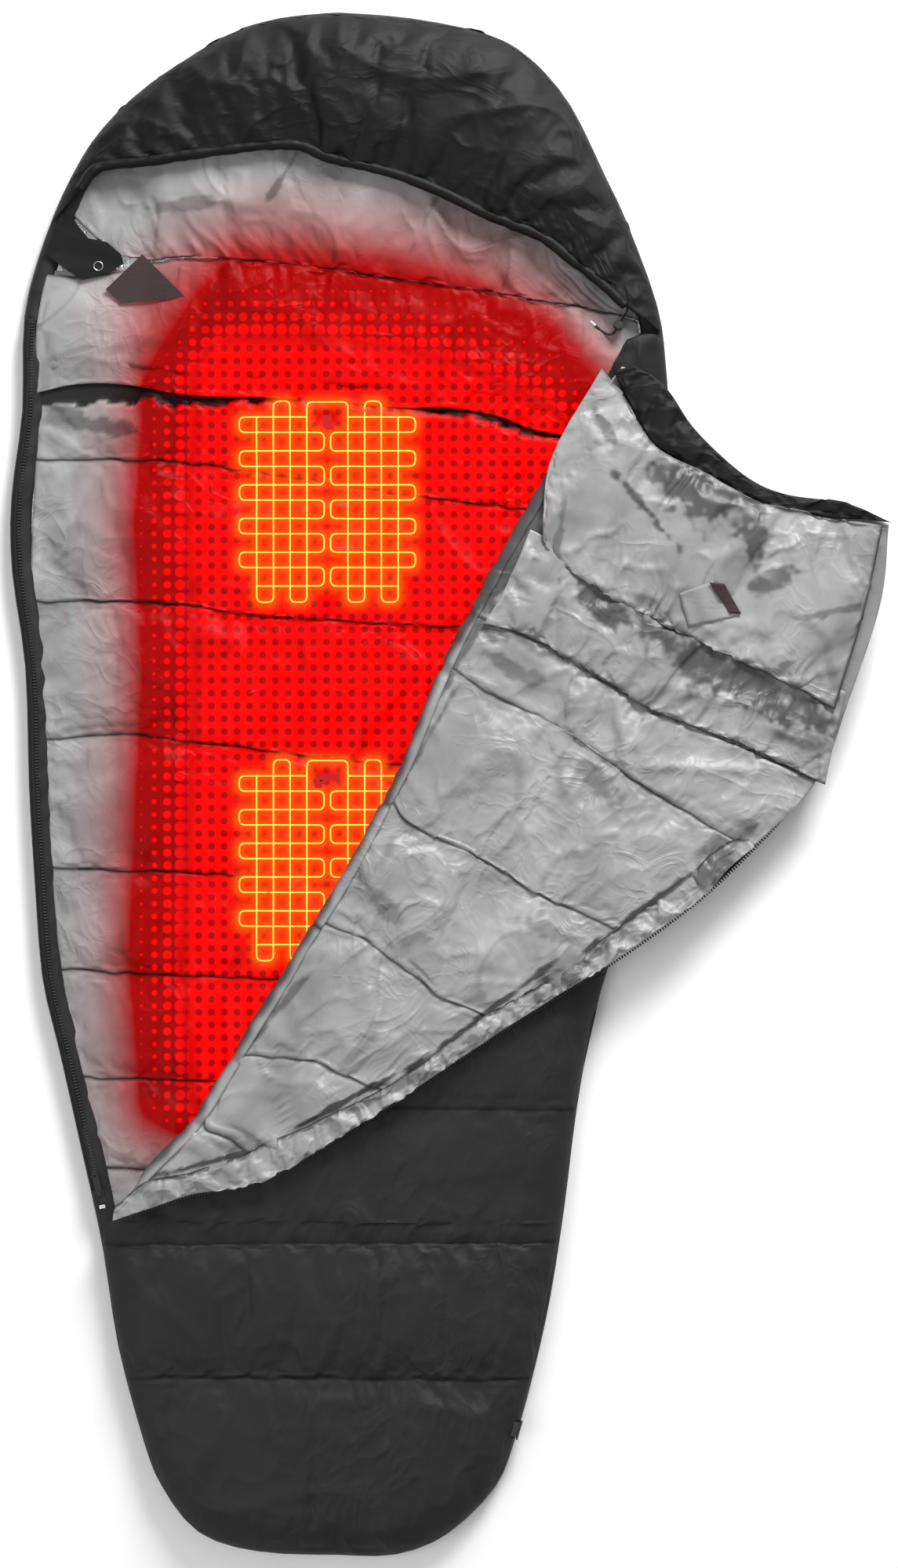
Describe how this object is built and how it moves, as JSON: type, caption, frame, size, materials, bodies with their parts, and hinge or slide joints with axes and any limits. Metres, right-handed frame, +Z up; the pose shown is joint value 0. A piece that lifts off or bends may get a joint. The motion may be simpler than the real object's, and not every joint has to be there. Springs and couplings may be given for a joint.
{
  "type": "infrared sauna blanket",
  "caption": "Hooded, quilted infrared sauna blanket in black shell cloth with a grey lining, its front unzipped and folded back over two glowing heating mats",
  "frame": {"origin": "on the floor under the middle of the back panel, at its rest face", "axes": "+Z up, +Y from the foot to the hood, +X to the right of the blanket seen from above"},
  "size_m": [1.202, 2.1086, 0.0801],
  "materials": {
    "shell_cloth": "matt woven nylon",
    "hood_cloth": "matt woven nylon",
    "lining_cloth": "satin woven lining",
    "fibre_fill": "lofted fibre wadding",
    "foil": "crinkled foil",
    "infrared_film": "carbon-loaded film",
    "heating_wire": "glowing insulated wire",
    "terminal_plastic": "moulded",
    "black_plastic": "moulded",
    "zip_tape": "woven tape",
    "zip_metal": "black enamel",
    "bright_metal": "polished",
    "contact_brass": "plated",
    "spring_steel": "drawn wire",
    "hook_tape": "hook and loop tape",
    "loop_cloth": "brushed loop cloth",
    "drawcord": "braided cord",
    "cable": "flat cable jacket",
    "cord_end": "moulded end"
  },
  "bodies": {
    "root": {"back_shell": "shell_cloth", "back_fill": "fibre_fill", "radiant_foil": "foil", "back_lining": "lining_cloth", "edge_binding": "shell_cloth", "upper_infrared_sheet": "infrared_film", "lower_infrared_sheet": "infrared_film", "upper_heater_wire": "heating_wire", "lower_heater_wire": "heating_wire", "upper_terminal_block": "terminal_plastic", "lower_terminal_block": "terminal_plastic", "upper_thermostat": "black_plastic", "lower_thermostat": "black_plastic", "heater_harness": "cable", "power_inlet": "black_plastic", "inlet_contacts": "contact_brass", "front_shell": "shell_cloth", "front_fill": "fibre_fill", "front_lining": "lining_cloth", "body_gusset": "shell_cloth", "hood_shell": "hood_cloth", "hood_fill": "fibre_fill", "hood_lining": "lining_cloth", "hood_gusset": "hood_cloth", "hood_hem": "hood_cloth", "hood_drawcord": "drawcord", "hood_back_lining": "lining_cloth", "back_draft_collar": "lining_cloth", "zip_tape_body": "zip_tape", "zip_teeth_body": "zip_tape", "zip_stop": "bright_metal", "tab_base": "shell_cloth", "tab_ring": "bright_metal", "drawcord_end": "drawcord", "drawcord_tip": "cord_end"},
    "flap": {"flap_shell": "shell_cloth", "flap_fill": "fibre_fill", "flap_lining": "lining_cloth", "flap_draft_tube": "lining_cloth", "flap_collar": "lining_cloth", "collar_facing": "lining_cloth", "neck_band": "shell_cloth", "loop_patch": "loop_cloth", "zip_tape_flap": "zip_tape", "zip_teeth_flap": "zip_tape"},
    "zip_slider": {"zip_slider": "zip_metal"},
    "zip_pull": {"zip_pull": "zip_metal"},
    "neck_tab": {"neck_tab": "hook_tape"},
    "cord_lock": {"cord_lock_body": "black_plastic", "cord_lock_spring": "spring_steel"},
    "cord_lock_plunger": {"cord_lock_plunger": "black_plastic"}
  },
  "joints": [
    {"name": "flap_fold", "type": "hinge", "parent": "root", "child": "flap", "pos_m": [0.032, -0.0185, 0.053], "axis": [-0.5117, -0.8591, 0], "range_deg": [0, 176]},
    {"name": "zip_run", "type": "slide", "parent": "root", "child": "zip_slider", "axis": [-0.2211, 0.9753, 0], "range_m": [0, 0.26]},
    {"name": "zip_pull_swing", "type": "hinge", "parent": "zip_slider", "child": "zip_pull", "pos_m": [-0.324, -0.562, 0.028], "axis": [0.9753, 0.2211, 0], "range_deg": [0, 160]},
    {"name": "neck_tab_lift", "type": "hinge", "parent": "root", "child": "neck_tab", "pos_m": [-0.316, 0.674, 0.0258], "axis": [-0.7214, -0.6925, 0], "range_deg": [0, 150]},
    {"name": "cord_lock_run", "type": "slide", "parent": "root", "child": "cord_lock", "axis": [0.5117, 0.8591, 0], "range_m": [0, 0.006]},
    {"name": "plunger_press", "type": "slide", "parent": "cord_lock", "child": "cord_lock_plunger", "axis": [0, 0, -1], "range_m": [0, 0.004], "stiffness_N_per_m": 400, "springref_m": -0.002, "deforming": ["cord_lock_spring"]}
  ]
}
